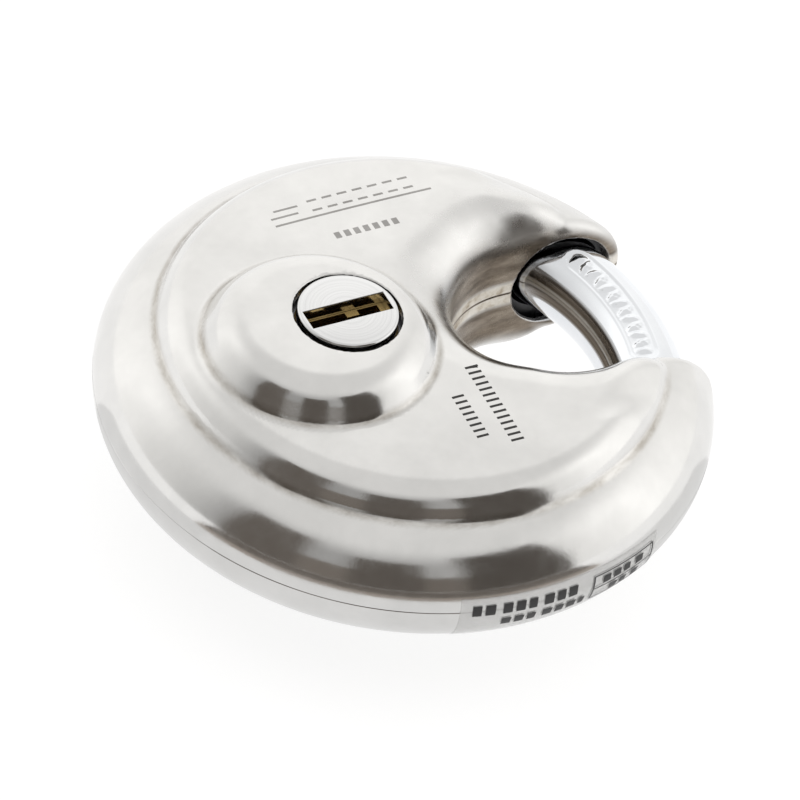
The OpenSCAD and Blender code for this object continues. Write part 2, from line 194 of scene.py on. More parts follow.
def surface_net(field, low, high, step):
    """Quads around the zero level of a field, one vertex in each grid cell that it crosses."""
    axes = [np.arange(a, b + step, step) for a, b in zip(low, high)]
    n = [len(a) for a in axes]
    v = np.empty(n, np.float32)
    for i, x in enumerate(axes[0]):
        grid = np.stack(np.meshgrid([x], axes[1], axes[2], indexing="ij"), -1)
        v[i] = field(grid.reshape(-1, 3)).reshape(n[1], n[2])
    inside = v < 0
    corners = [(a, b, c) for a in (0, 1) for b in (0, 1) for c in (0, 1)]

    def corner(array, c):
        return array[c[0]:n[0] - 1 + c[0], c[1]:n[1] - 1 + c[1], c[2]:n[2] - 1 + c[2]]

    # A cell's vertex is the mean of the points where the level crosses the cell's edges
    count = sum(corner(inside, c).astype(np.int8) for c in corners)
    mixed = (count > 0) & (count < 8)
    index = np.full(mixed.shape, -1, np.int64)
    index[mixed] = np.arange(mixed.sum())
    values = {c: corner(v, c)[mixed] for c in corners}
    total = np.zeros((mixed.sum(), 3))
    hits = np.zeros(mixed.sum())
    for a in corners:
        for k in range(3):
            if a[k]:
                continue
            b = tuple(1 if m == k else a[m] for m in range(3))
            va, vb = values[a], values[b]
            cross = (va < 0) != (vb < 0)
            t = np.where(cross, va / np.where(cross, va - vb, 1), 0)
            point = np.array(a, float) + t[:, None] * (np.array(b, float) - np.array(a, float))
            total += np.where(cross[:, None], point, 0)
            hits += cross
    cells = np.argwhere(mixed)
    points = np.array(low) + (cells + total / hits[:, None]) * step
    # Each grid edge that crosses the level gives the quad of the four cells around it
    quads = []
    for a in range(3):
        b, c = (a + 1) % 3, (a + 2) % 3
        lower = np.take(inside, range(n[a] - 1), axis=a)
        upper = np.take(inside, range(1, n[a]), axis=a)
        change = lower != upper
        for k in (b, c):
            edge = [slice(None)] * 3
            for side in (0, -1):
                edge[k] = side
                change[tuple(edge)] = False
        at = np.argwhere(change)
        out = lower[change]
        db, dc = np.eye(3, dtype=int)[b], np.eye(3, dtype=int)[c]
        around = [at - db - dc, at - dc, at, at - db]
        q = np.stack([index[tuple(cell.T)] for cell in around], 1)
        q[~out] = q[~out][:, ::-1]
        quads.append(q)
    return points, np.concatenate(quads)


def relax(field, p, quads, rounds):
    """Evens out the spacing of the points, keeping them on the zero level."""
    edges = np.concatenate([quads[:, [k, (k + 1) % 4]] for k in range(4)])
    for _ in range(rounds):
        total = np.zeros_like(p)
        hits = np.zeros(len(p))
        for s, t in ((0, 1), (1, 0)):
            np.add.at(total, edges[:, s], p[edges[:, t]])
            np.add.at(hits, edges[:, s], 1)
        p = p + 0.5 * (total / np.maximum(hits, 1)[:, None] - p)
        p = project(field, p, 2)
    return project(field, p, 3)


# ---------------------------------------------------------------- mesh helpers

def new_object(name, mesh):
    ob = bpy.data.objects.new(name, mesh)
    bpy.context.scene.collection.objects.link(ob)
    return ob


def mesh_from(name, points, faces, normals, flat=(), tints=None):
    """points in millimetres about the disc's centre, a normal each; flat faces keep their own."""
    mesh = bpy.data.meshes.new(name)
    mesh.from_pydata((np.asarray(points) * MM + CENTRE).tolist(), [],
                     [list(map(int, f)) for f in faces])
    mesh.shade_smooth()
    for key, values in (tints or {}).items():
        attribute = mesh.attributes.new(key, "FLOAT", "POINT")
        attribute.data.foreach_set("value", np.asarray(values, np.float32))
    loops = np.empty(len(mesh.loops), np.int32)
    mesh.loops.foreach_get("vertex_index", loops)
    per_loop = np.asarray(normals)[loops]
    for f in flat:
        poly = mesh.polygons[f]
        per_loop[poly.loop_start:poly.loop_start + poly.loop_total] = poly.normal
    mesh.normals_split_custom_set(unit(per_loop).tolist())
    return new_object(name, mesh)


def object_from(name, bm):
    """Ends a bmesh that was shaped in millimetres about the disc's centre."""
    for v in bm.verts:
        v.co = v.co * MM + Vector(CENTRE)
    mesh = bpy.data.meshes.new(name)
    bm.to_mesh(mesh)
    bm.free()
    mesh.shade_smooth()
    return new_object(name, mesh)


def place(ob, body, slot, material, *replaced):
    ob.data.materials.append(material)
    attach(ob, body)
    if replaced:
        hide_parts(*replaced)


# ---------------------------------------------------------------- materials

def node_material(name):
    mat = bpy.data.materials.new(name)
    mat.use_nodes = True
    nodes, links = mat.node_tree.nodes, mat.node_tree.links
    return mat, nodes, links, nodes["Principled BSDF"]


def add_noise(nodes, links, scale, detail, roughness, stretch=(1, 1, 1)):
    coord = nodes.new("ShaderNodeTexCoord")
    mapping = nodes.new("ShaderNodeMapping")
    mapping.inputs["Scale"].default_value = stretch
    noise = nodes.new("ShaderNodeTexNoise")
    noise.inputs["Scale"].default_value = scale
    noise.inputs["Detail"].default_value = detail
    noise.inputs["Roughness"].default_value = roughness
    links.new(coord.outputs["Object"], mapping.inputs["Vector"])
    links.new(mapping.outputs["Vector"], noise.inputs["Vector"])
    return noise.outputs["Fac"]


def add_ramp(nodes, links, source, stops):
    ramp = nodes.new("ShaderNodeValToRGB")
    while len(ramp.color_ramp.elements) < len(stops):
        ramp.color_ramp.elements.new(0.5)
    for element, (at, colour) in zip(ramp.color_ramp.elements, stops):
        element.position = at
        element.color = (*colour, 1)
    links.new(source, ramp.inputs["Fac"])
    return ramp.outputs["Color"]


def add_grey_ramp(nodes, links, source, dark, light):
    return add_ramp(nodes, links, source, [(0.3, (dark,) * 3), (0.7, (light,) * 3)])


def add_mix(nodes, links, factor, first, second):
    """Colour mix. second is an output socket or a fixed colour."""
    node = nodes.new("ShaderNodeMix")
    node.data_type = "RGBA"
    a, b = [socket for socket in node.inputs if socket.type == "RGBA"]
    links.new(factor, node.inputs["Factor"])
    links.new(first, a)
    if isinstance(second, tuple):
        b.default_value = second
    else:
        links.new(second, b)
    return next(out for out in node.outputs if out.type == "RGBA")


def add_bump(nodes, links, shader, source, strength, distance):
    bump = nodes.new("ShaderNodeBump")
    bump.inputs["Strength"].default_value = strength
    bump.inputs["Distance"].default_value = distance
    links.new(source, bump.inputs["Height"])
    links.new(bump.outputs["Normal"], shader.inputs["Normal"])


def metal(name, dark, light, rough, grain_scale, grain_depth, stretch=(1, 1, 1)):
    """Bare metal: clouds of two colours, and a roughness that wanders between two values."""
    mat, nodes, links, shader = node_material(name)
    shader.inputs["Metallic"].default_value = 1.0
    cloud = add_noise(nodes, links, 160, 5.0, 0.6)
    links.new(add_ramp(nodes, links, cloud, [(0.3, dark), (0.7, light)]),
              shader.inputs["Base Color"])
    worn = add_noise(nodes, links, 420, 3.0, 0.7, stretch)
    links.new(add_grey_ramp(nodes, links, worn, *rough), shader.inputs["Roughness"])
    grain = add_noise(nodes, links, grain_scale, 3.0, 0.6, stretch)
    add_bump(nodes, links, shader, grain, 0.35, grain_depth)
    return mat


def paint(name, colour, rough):
    mat, nodes, links, shader = node_material(name)
    speck = add_noise(nodes, links, 2500, 3.0, 0.6)
    low = tuple(c * 0.8 for c in colour)
    links.new(add_ramp(nodes, links, speck, [(0.35, low), (0.65, colour)]),
              shader.inputs["Base Color"])
    shader.inputs["Roughness"].default_value = rough
    return mat


def stainless():
    """Polished sheet. The mesh's attributes say where it carries painted shade and the seam's dark
    line, where it is ground or satin, and where it is darker in the groove and round the boss's
    foot.
    """
    mat, nodes, links, shader = node_material("stainless")
    shader.inputs["Metallic"].default_value = 1.0

    def mix(key, plain, marked):
        """plain where the attribute is 0, marked where it is 1."""
        node = nodes.new("ShaderNodeAttribute")
        node.attribute_name = key
        return add_mix(nodes, links, node.outputs["Fac"], plain, marked)

    cloud = add_noise(nodes, links, 160, 5.0, 0.6)
    streak = add_noise(nodes, links, 210, 6.0, 0.65, (1, 1, 3.2))
    blotch = add_noise(nodes, links, 520, 5.0, 0.7)
    clean = add_ramp(nodes, links, cloud, [
        (0.3, (0.70, 0.693, 0.68)), (0.7, (0.775, 0.767, 0.753))])
    # Brown for the painted shade and reflection on the bite's wall, and for the seam's own dark
    # line
    shade_and_seam_brown = add_ramp(nodes, links, streak, [
        (0.30, (0.095, 0.075, 0.055)), (0.50, (0.19, 0.155, 0.12)), (0.70, (0.30, 0.255, 0.205))])
    bare = add_ramp(nodes, links, blotch, [
        (0.34, (0.34, 0.27, 0.19)), (0.48, (0.62, 0.57, 0.49)), (0.7, (0.78, 0.75, 0.70))])
    # The darker grey for the groove and the foot of the boss
    groove_grey = add_ramp(nodes, links, streak, [
        (0.35, (0.40, 0.375, 0.34)), (0.65, (0.68, 0.665, 0.64))])
    # Over the clean steel: the darker grey in the groove, then the painted shade's brown on the
    # bite's wall and in the seam
    with_shade_and_seam = mix("seam_and_painted_shade", mix("groove_darkening", clean, groove_grey), shade_and_seam_brown)
    links.new(mix("ground", with_shade_and_seam, bare), shader.inputs["Base Color"])

    worn = add_noise(nodes, links, 420, 3.0, 0.7)
    polished = add_grey_ramp(nodes, links, worn, 0.11, 0.19)
    brushed = add_grey_ramp(nodes, links, worn, 0.24, 0.34)
    rough = add_grey_ramp(nodes, links, worn, 0.36, 0.50)
    links.new(mix("ground", mix("satin", polished, brushed), rough), shader.inputs["Roughness"])
    grain = add_noise(nodes, links, 2600, 3.0, 0.6)
    add_bump(nodes, links, shader, grain, 0.35, 0.00001)
    return mat


def film():
    """The clear plastic of the rim's label."""
    mat, nodes, links, shader = node_material("label_film")
    haze = add_noise(nodes, links, 700, 3.0, 0.5)
    links.new(add_ramp(nodes, links, haze, [(0.3, (0.80, 0.80, 0.79)), (0.7, (0.88, 0.88, 0.87))]),
              shader.inputs["Base Color"])
    shader.inputs["Roughness"].default_value = 0.12
    shader.inputs["Alpha"].default_value = 0.2
    mat.surface_render_method = "DITHERED"
    return mat


def turned_chrome():
    """Chrome with the fine circular marks of turning about the plug's axis."""
    mat, nodes, links, shader = node_material("cap_turned_chrome")
    shader.inputs["Metallic"].default_value = 1.0
    # The distance from the axis drives the marks
    vector = nodes.new("ShaderNodeTexCoord").outputs["Object"]
    for operation, value in (("SUBTRACT", (TURN["pos_m"][0], TURN["pos_m"][1], 0)),
                             ("MULTIPLY", (1, 1, 0))):
        node = nodes.new("ShaderNodeVectorMath")
        node.operation = operation
        node.inputs[1].default_value = value
        links.new(vector, node.inputs[0])
        vector = node.outputs["Vector"]
    radius = nodes.new("ShaderNodeVectorMath")
    radius.operation = "LENGTH"
    links.new(vector, radius.inputs[0])
    marks = nodes.new("ShaderNodeTexNoise")
    marks.noise_dimensions = "1D"
    marks.inputs["Scale"].default_value = 2600
    marks.inputs["Detail"].default_value = 4
    links.new(radius.outputs["Value"], marks.inputs["W"])
    links.new(add_ramp(nodes, links, marks.outputs["Fac"],
                       [(0.35, (0.71, 0.71, 0.71)), (0.6, (0.77, 0.77, 0.77))]),
              shader.inputs["Base Color"])
    shader.inputs["Roughness"].default_value = 0.13
    add_bump(nodes, links, shader, marks.outputs["Fac"], 0.09, 0.00001)
    return mat


# Each metal: its two colours, its two roughnesses, and the scale and depth of its grain
STAINLESS = stainless()
CHROME = metal("shackle_chrome", (0.80, 0.82, 0.85), (0.86, 0.875, 0.90), (0.05, 0.09),
               900, 0.000004)
BRASS = metal("brass", (0.42, 0.29, 0.11), (0.62, 0.45, 0.19), (0.20, 0.34),
              1500, 0.00002, (1, 1, 6))
ZINC = metal("zinc_die_cast", (0.07, 0.07, 0.072), (0.12, 0.12, 0.122), (0.45, 0.62),
             900, 0.00005)
HARD = metal("hardened_steel", (0.20, 0.20, 0.21), (0.30, 0.30, 0.31), (0.28, 0.42),
             1500, 0.00002)
PLATED = metal("zinc_plated_steel", (0.55, 0.55, 0.52), (0.66, 0.66, 0.62), (0.25, 0.38),
               1200, 0.00002)
SPRING = metal("spring_steel", (0.38, 0.38, 0.39), (0.48, 0.48, 0.49), (0.22, 0.32),
               1400, 0.00001)
MARK = metal("engraved_line", (0.30, 0.29, 0.28), (0.40, 0.39, 0.38), (0.35, 0.5),
             2000, 0.00001)
STAMP = paint("stamp_fill", (0.030, 0.028, 0.027), 0.6)
INK = paint("label_ink", (0.020, 0.019, 0.019), 0.45)
FILM = film()

# The CAD pieces that keep their own shape
PIN_NUMBERS = range(1, 6)
for mat, names in {
    ZINC: ["core_front", "core_rear"],
    PLATED: ["core_screws", "carrier_rivets"],
    BRASS: ["cylinder_housing", "chamber_cover", "plug"] + ["key_pin_%d" % n for n in PIN_NUMBERS],
    HARD: ["anti_drill_washer", "stop_pins", "shackle_carrier", "drive_pinion"]
    + ["driver_pin_%d" % n for n in PIN_NUMBERS],
    SPRING: ["pin_springs", "plug_circlip"],
}.items():
    for name in names:
        for holder in frame["nodes"][name].material_slots:
            holder.material = mat


# ---------------------------------------------------------------- pressed shells

# The net is cut off just above the seam, which close_seam then finishes
NET_LOW = 0.28


def positions(verts):
    return np.array([v.co[:] for v in verts])


def split_sharp(bm, field, turn):
    """Splits edges across which the surface turns by over turn degrees, with new points on it."""
    bm.verts.index_update()
    normal = unit(gradient(field, positions(bm.verts)))
    limit, shortest = math.cos(math.radians(turn)), 0.14
    cut = [e for e in bm.edges
           if normal[e.verts[0].index] @ normal[e.verts[1].index] < limit
           and e.calc_length() > shortest]
    known = len(bm.verts)
    bmesh.ops.subdivide_edges(bm, edges=cut, cuts=1, use_grid_fill=True)
    fresh = list(bm.verts)[known:]
    for v, p in zip(fresh, project(field, positions(fresh), 3)):
        if v.co.z > NET_LOW + 0.001:
            v.co = p


def close_seam(bm, field):
    """The edge turns in a little before it meets the other shell. Returns its rows and the lids."""
    border = [e for e in bm.edges if e.is_boundary]
    rows = []
    for height, inset in ((0.11, 0.0), (0.012, 0.07)):
        made = bmesh.ops.extrude_edge_only(bm, edges=border)["geom"]
        border = [g for g in made if isinstance(g, bmesh.types.BMEdge) and g.is_boundary]
        fresh = [g for g in made if isinstance(g, bmesh.types.BMVert)]
        away = unit(gradient(field, positions(fresh)) * np.array([1, 1, 0]))
        for v, n in zip(fresh, away):
            v.co = (v.co.x - inset * n[0], v.co.y - inset * n[1], height)
        rows.append(fresh)
    before = set(bm.faces)
    bmesh.ops.holes_fill(bm, edges=border, sides=0)
    return rows, [f for f in bm.faces if f not in before]


def wear_and_shade(pos, normal):
    """How much painted shade and seam darkening, grinding, satin and darkening in the groove each
    point of a shell has, from 0 to 1.
    """
    x, y = pos[:, 0], pos[:, 1]
    height = np.abs(pos[:, 2])
    gap = np.abs(bite_field(x, y))
    # Painted shade and reflection on the bite's wall, stronger as the wall turns steep and fainter
    # on the near side, and the seam's own dark line
    near = 1 - smooth(2.0, 6.5, gap)
    steep = 1 - smooth(0.05, 0.70, np.abs(normal[:, 2]))
    seam_and_painted_shade = near * steep * smooth(0.9, 2.2, height)
    seam_and_painted_shade *= 0.3 + 0.7 * smooth(-9, -3, y)
    # The weld beside the seam, ground off
    ground = (1 - smooth(0.2, 0.9, gap)) * (1 - smooth(1.1, 1.9, height))
    seam = (gap < 1.5) & (height < 0.2)
    seam_and_painted_shade[seam], ground[seam] = 1, 0
    satin = (1 - smooth(4.0, 10.0, gap)) * smooth(-6, 2, y)
    # Darker in the groove and round the foot of the boss
    groove = np.abs(np.hypot(x, y) - GROOVE_R - 0.15) + np.maximum(7.3 - height, 0)
    foot = np.abs(np.hypot(x - BOSS_X, y) - BOSS_FOOT_R) + np.maximum(11.2 - height, 0)
    groove_darkening = (1 - smooth(0.05, 0.62, np.minimum(groove, foot))) * (1 - near)
    return {"seam_and_painted_shade": seam_and_painted_shade, "ground": ground, "satin": satin, "groove_darkening": groove_darkening}


def build_shell(name, node, with_hole):
    """One pressing. It is shaped as the front one, and the rear one is mirrored in the seam."""
    def field(p):
        return shell_field(p, with_hole)

    step = 0.4
    low, high = (-35.9, -35.9, -1.35), (35.9, 35.9, BOSS_TOP + 0.9)
    points, quads = surface_net(field, low, high, step)
    points = project(field, points, 3)
    points = relax(field, points, quads, 2)

    bm = bmesh.new()
    verts = [bm.verts.new(p) for p in points]
    for q in quads:
        try:
            bm.faces.new([verts[i] for i in q])
        except ValueError:
            pass  # a cell that the surface crosses twice can give the same quad again
    bmesh.ops.bisect_plane(bm, geom=bm.verts[:] + bm.edges[:] + bm.faces[:], dist=1e-5,
                           plane_co=(0, 0, NET_LOW), plane_no=(0, 0, 1), clear_inner=True)
    for turn in (((22, 17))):
        split_sharp(bm, field, turn)
    rows, lids = close_seam(bm, field)
    bmesh.ops.recalc_face_normals(bm, faces=bm.faces[:])
    bm.verts.index_update()
    bm.faces.index_update()

    pos = positions(bm.verts)
    normal = unit(gradient(field, pos))
    # The seam's edge is shaded level, then tilted towards the other shell
    for row, tilt in zip(rows, (0.0, -0.8)):
        ids = [v.index for v in row]
        normal[ids] = unit(normal[ids] * np.array([1, 1, 0]) + np.array([0, 0, tilt]))
    flat = [f.index for f in lids]
    faces = [[v.index for v in f.verts] for f in bm.faces]
    bm.free()
    if not with_hole:
        pos[:, 2] *= -1
        normal[:, 2] *= -1
        faces = [f[::-1] for f in faces]
    ob = mesh_from(name, pos, faces, normal, flat, wear_and_shade(pos, normal))
    place(ob, "lock_body", "stainless_shell", STAINLESS, node)


build_shell("front_shell_pressing", "front_shell", True)
build_shell("rear_shell_pressing", "rear_shell", False)


# ---------------------------------------------------------------- shackle

def panel_relief(along, across):
    """How far the bar's surface sinks in its shallow panel, and how far plain pips rise in it."""
    half_length, half_width, depth = 7.9, 1.55, 0.2
    pitch, pip_lean, pip_rise = 1.35, 0.35, 0.19
    past_end = np.maximum(np.abs(along) - half_length, 0)
    panel = 1 - smooth(-0.22, 0.12, np.hypot(past_end, np.abs(across)) - half_width)
    k = np.round(along / pitch)
    lean = np.where(k % 2 == 0, pip_lean, -pip_lean)
    pip = np.hypot((along - k * pitch - lean * across) / 0.38, across / 1.1) - 1
    pip = (1 - smooth(-0.45, 0.2, pip)) * (np.abs(along) < half_length + 0.5)
    return depth * panel, pip_rise * pip * panel


def build_shackle():
    per_mm, seg = ((3.6, 150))
    end_round, panel_middle, panel_angle = 1.3, 1.0, 97
    length = math.radians(TIP_ANGLE - TAIL_ANGLE) * PATH_R
    # A is the angle along the bar, in degrees, and B the one around it
    A, B = np.meshgrid(np.linspace(TAIL_ANGLE, TIP_ANGLE, int(length * per_mm)),
                       np.arange(seg) * 2 * math.pi / seg, indexing="ij")
    a = np.radians(A)
    # The bar's two ends are rounded
    from_end = np.minimum(np.radians(TIP_ANGLE - A) * PATH_R, np.radians(A - TAIL_ANGLE) * PATH_R)
    over = np.maximum(end_round - from_end, 0)
    shrink = end_round - np.sqrt(np.maximum(end_round ** 2 - over ** 2, 0))
    sunk, raised = panel_relief(a * PATH_R - panel_middle,
                                (B - math.radians(panel_angle)) * BAR_R)
    radius = BAR_R - shrink - sunk + raised
    R = PATH_R + radius * np.cos(B)
    P = np.stack([R * np.cos(a), R * np.sin(a), radius * np.sin(B)], -1)
    points = P.reshape(-1, 3)
    middle = np.stack([PATH_R * np.cos(a), PATH_R * np.sin(a), 0 * a], -1).reshape(-1, 3)
    lengthwise = np.gradient(P, axis=0)
    round_it = np.roll(P, -1, 1) - np.roll(P, 1, 1)
    N = unit(np.cross(round_it, lengthwise)).reshape(-1, 3)
    N[((points - middle) * N).sum(1) < 0] *= -1
    n = len(A)
    faces = []
    for i in range(n - 1):
        for j in range(seg):
            t = (j + 1) % seg
            faces.append([i * seg + j, (i + 1) * seg + j, (i + 1) * seg + t, i * seg + t])
    faces.append(list(range(seg)))
    faces.append([(n - 1) * seg + j for j in range(seg)][::-1])
    return mesh_from("shackle_bar_chromed", points, faces, N, [len(faces) - 2, len(faces) - 1])


def build_lug():
    """The block under the bar's hidden end, which joins it to the carrier."""
    inner_r, outer_r, wide, low, high, angle = 20.5, 26.0, 6.2, -5.45, -0.6, 242.5
    bm = bmesh.new()
    bmesh.ops.create_cube(bm, size=1)
    bmesh.ops.scale(bm, vec=(outer_r - inner_r, wide, high - low), verts=bm.verts)
    bmesh.ops.bevel(bm, geom=bm.edges[:], offset=0.45, segments=4, profile=0.5, affect="EDGES")
    middle = Vector(((inner_r + outer_r) / 2, 0, (high + low) / 2))
    bmesh.ops.translate(bm, vec=middle, verts=bm.verts)
    sin, cos = math.sin(math.radians(angle)), math.cos(math.radians(angle))
    for v in bm.verts:
        x, y = v.co.x, v.co.y
        v.co.x = x * cos - y * sin
        v.co.y = x * sin + y * cos
    return object_from("shackle_lug", bm)


place(build_shackle(), "shackle", "shackle_chrome", CHROME, "shackle")
place(build_lug(), "shackle", "shackle_chrome", CHROME)


# ---------------------------------------------------------------- plug cap

def build_cap():
    """A disc with a rounded edge and the key's slot cut through it."""
    seg, round_r = 192, 0.28
    slot_l, slot_w = 4.98, 1.36
    low = BOSS_TOP - WALL
    bm = bmesh.new()
    profile = [(CAP_R, low), (CAP_R, CAP_TOP - round_r)]
    profile += [(CAP_R - round_r + round_r * math.cos(a), CAP_TOP - round_r + round_r * math.sin(a))
                for a in np.radians([15, 30, 45, 60, 75, 90])]
    angle = np.arange(seg) * 2 * math.pi / seg
    rim = [[bm.verts.new((PLUG_X + r * math.cos(a), r * math.sin(a), z)) for a in angle]
           for r, z in profile]

    def slot_loop(grow, z):
        l, w = slot_l + grow, slot_w + grow
        corners = [(-l, -w), (l, -w), (l, w), (-l, w)]
        pts = []
        for k, a in enumerate(corners):
            b = corners[(k + 1) % 4]
            n = 14 if abs(a[0] - b[0]) > 1 else 4
            pts += [(a[0] + (b[0] - a[0]) * i / n, a[1] + (b[1] - a[1]) * i / n) for i in range(n)]
        return [bm.verts.new((PLUG_X + x, y, z)) for x, y in pts]

    slot = [slot_loop(0.07, CAP_TOP), slot_loop(0.02, CAP_TOP - 0.05), slot_loop(0, CAP_TOP - 0.12),
            slot_loop(0, low)]
    for loops in (rim, slot):
        for first, second in zip(loops, loops[1:]):
            for k in range(len(first)):
                m = (k + 1) % len(first)
                bm.faces.new([first[k], first[m], second[m], second[k]])
    for outer, inner in ((rim[-1], slot[0]), (rim[0], slot[-1])):
        border = []
        for loop in (outer, inner):
            for pair in zip(loop, loop[1:] + loop[:1]):
                border.append(bm.edges.get(pair) or bm.edges.new(pair))
        bmesh.ops.triangle_fill(bm, edges=border, use_beauty=True)
    bmesh.ops.recalc_face_normals(bm, faces=bm.faces[:])
    ob = object_from("plug_cap_turned", bm)
    ob.data.set_sharp_from_angle(angle=math.radians(28))
    return ob


place(build_cap(), "plug", "cap_chrome", turned_chrome(), "plug_cap")


# ---------------------------------------------------------------- printed and stamped marks

def slab_faces(steps, rows, base=0):
    """Faces of a thin slab whose points are one grid of steps by rows cells and then another."""
    wide = rows + 1
    layer = (steps + 1) * wide
    faces = []
    for i in range(steps):
        for j in range(rows):
            a = base + i * wide + j
            faces.append([a, a + 1, a + wide + 1, a + wide])
            faces.append([layer + k for k in (a, a + wide, a + wide + 1, a + 1)])
    edge = [i * wide for i in range(steps)] + [steps * wide + j for j in range(rows)]
    edge += [i * wide + rows for i in range(steps, 0, -1)] + list(range(rows, 0, -1))
    for a, b in zip(edge, edge[1:] + edge[:1]):
        faces.append([base + a, base + b, base + b + layer, base + a + layer])
    return faces


def strip_on(name, cells, to_point, to_normal, thick, material, slot, rows=1):
    """Thin raised patches, each (u0, u1, v0, v1, steps). to_point puts (u, v) on the surface."""
    pts, faces = [], []
    for u0, u1, v0, v1, steps in cells:
        faces += slab_faces(steps, rows, len(pts))
        for lift in (0.0, thick):
            for i in range(steps + 1):
                for j in range(rows + 1):
                    u, v = u0 + (u1 - u0) * i / steps, v0 + (v1 - v0) * j / rows
                    pts.append(to_point(u, v) + to_normal(u, v) * lift)
    mesh = bpy.data.meshes.new(name)
    mesh.from_pydata((np.array(pts) * MM + CENTRE).tolist(), [], faces)
    bm = bmesh.new()
    bm.from_mesh(mesh)
    bmesh.ops.recalc_face_normals(bm, faces=bm.faces[:])
    bm.to_mesh(mesh)
    bm.free()
    place(new_object(name, mesh), "lock_body", slot, material)


def on_plateau(origin, angle):
    """Maps (u, v) onto the plateau, a little sunk in, with u at an angle to +X."""
    c, s = math.cos(math.radians(angle)), math.sin(math.radians(angle))
    sunk = 0.02

    def spot(u, v):
        return origin[0] + u * c - v * s, origin[1] + u * s + v * c

    def point(u, v):
        x, y = spot(u, v)
        return np.array([x, y, plateau_height(x, y) - sunk])

    def normal(u, v):
        x, y = spot(u, v)
        return unit(np.array([2 * DOME * x, 2 * DOME * y, 1.0]))

    return point, normal


# Two rows of plain upright strokes, read along -Y
for name, origin, count, tall in (("stamped_strokes_outer", (2.35, -9.1), 14, 0.78),
                                  ("stamped_strokes_inner", (-1.15, -12.8), 8, 0.72)):
    strip_on(name, [(0.9 * k, 0.9 * k + 0.3, -tall, tall, 1) for k in range(count)],
             *on_plateau(origin, -90), 0.045, STAMP, "stainless_shell")

# A long plain rule, two short ones and two rows of dashes, on the far side of the plateau
rules = [(-9.0, 10.5, -0.14, 0.14, 24), (-9.0, -5.6, 1.05, 1.33, 1), (-8.2, -5.2, 2.15, 2.43, 1)]
for v0, v1 in ((0.85, 1.15), (2.45, 2.75)):
    rules += [(-3.9 + 1.9 * k, -2.7 + 1.9 * k, v0, v1, 1) for k in range(7)]
strip_on("engraved_rules", rules, *on_plateau((0.6, 18.6), 0), 0.03, MARK, "stainless_shell")
# A row of plain ticks below them
ticks = [(-3.6 + 1.2 * k, -2.9 + 1.2 * k, -0.5, 0.5, 1) for k in range(7)]
strip_on("engraved_ticks", ticks, *on_plateau((0.8, 14.9), 0), 0.03, MARK, "stainless_shell")


# On the rim, u is the angle round the disc in degrees, and t the angle up the ring's section
def rim_point(lift):
    def point(angle, t):
        a = math.radians(angle)
        r = RING_C + (RING_REACH + lift) * math.cos(t)
        z = (RING_RISE + lift) * math.sin(t)
        return np.array([r * math.cos(a), r * math.sin(a), z])
    return point


def rim_normal(angle, t):
    a = math.radians(angle)
    n = unit(np.array([math.cos(t) / RING_REACH, math.sin(t) / RING_RISE]))
    return np.array([n[0] * math.cos(a), n[0] * math.sin(a), n[1]])


FILM_BACK, FILM_FACE = 0.05, 0.11


def build_label():
    """The label's clear film, just off the steel."""
    start, end = -105.8, -62.2
    low, high = math.asin(-5.9 / RING_RISE), math.asin(1.9 / RING_RISE)
    steps, rows = 90, 22
    point = rim_point(0)
    pts, normals = [], []
    for lift, sign in ((FILM_BACK, -1), (FILM_FACE, 1)):
        for i in range(steps + 1):
            for j in range(rows + 1):
                u = start + (end - start) * i / steps
                v = low + (high - low) * j / rows
                n = rim_normal(u, v)
                pts.append(point(u, v) + n * lift)
                normals.append(n * sign)
    return mesh_from("rim_label_film", pts, slab_faces(steps, rows), normals)


place(build_label(), "lock_body", "label_film", FILM, "rim_label")

# Rows of plain blocks: the row's middle and half height, its two ends, and the first block's width
cells = []
block_widths = (1.7, 1.9, 0.0, 1.8, 1.8, 1.6, 0.0, 1.9, 1.7, 1.8)
for t_mid, tall, first, last, k in (
        (0.02, 0.085, -103.5, -81.0, 0), (-0.245, 0.07, -97.5, -80.5, 3),
        (-0.01, 0.06, -76.6, -65.4, 3), (-0.235, 0.06, -74.4, -67.0, 4)):
    at = first
    while at + 1 < last:
        width = block_widths[k % len(block_widths)]
        if width:
            cells.append((at, min(at + width, last), t_mid - tall, t_mid + tall, 3))
        at += width + 0.75
        k += 1
# A ruled frame round the last two rows, with a line between them
frame_left, frame_right, frame_low, frame_high, frame_middle = -78.9, -63.6, -0.33, 0.10, -0.125
upright, level = 0.3, 0.016
cells += [(frame_left, frame_right, v, v + level, 12)
          for v in (frame_low, frame_high, frame_middle)]
cells += [(u, u + upright, frame_low, frame_high + level, 1)
          for u in (frame_left, frame_right - upright)]
strip_on("rim_label_print", cells, rim_point(FILM_FACE + 0.002), rim_normal, 0.02,
         INK, "label_film", 5)


# ---------------------------------------------------------------- studio

def stage_mesh(name, points, faces, material):
    mesh = bpy.data.meshes.new(name)
    mesh.from_pydata(points, [], faces)
    ob = new_object(name, mesh)
    mesh.materials.append(material)
    return ob


def glowing_material(name, base, rough, colour, strength):
    mat, _, _, shader = node_material(name)
    shader.inputs["Base Color"].default_value = (base, base, base, 1)
    shader.inputs["Roughness"].default_value = rough
    shader.inputs["Specular IOR Level"].default_value = 0.0
    shader.inputs["Emission Color"].default_value = (*colour, 1)
    shader.inputs["Emission Strength"].default_value = strength
    return mat


def card_material(name, shade, warmth=0.88):
    """A card that only glows, faintly, with each next channel dimmer by warmth."""
    return glowing_material(name, 0, 0.5, (shade, shade * warmth, shade * warmth ** 2), 1.0)


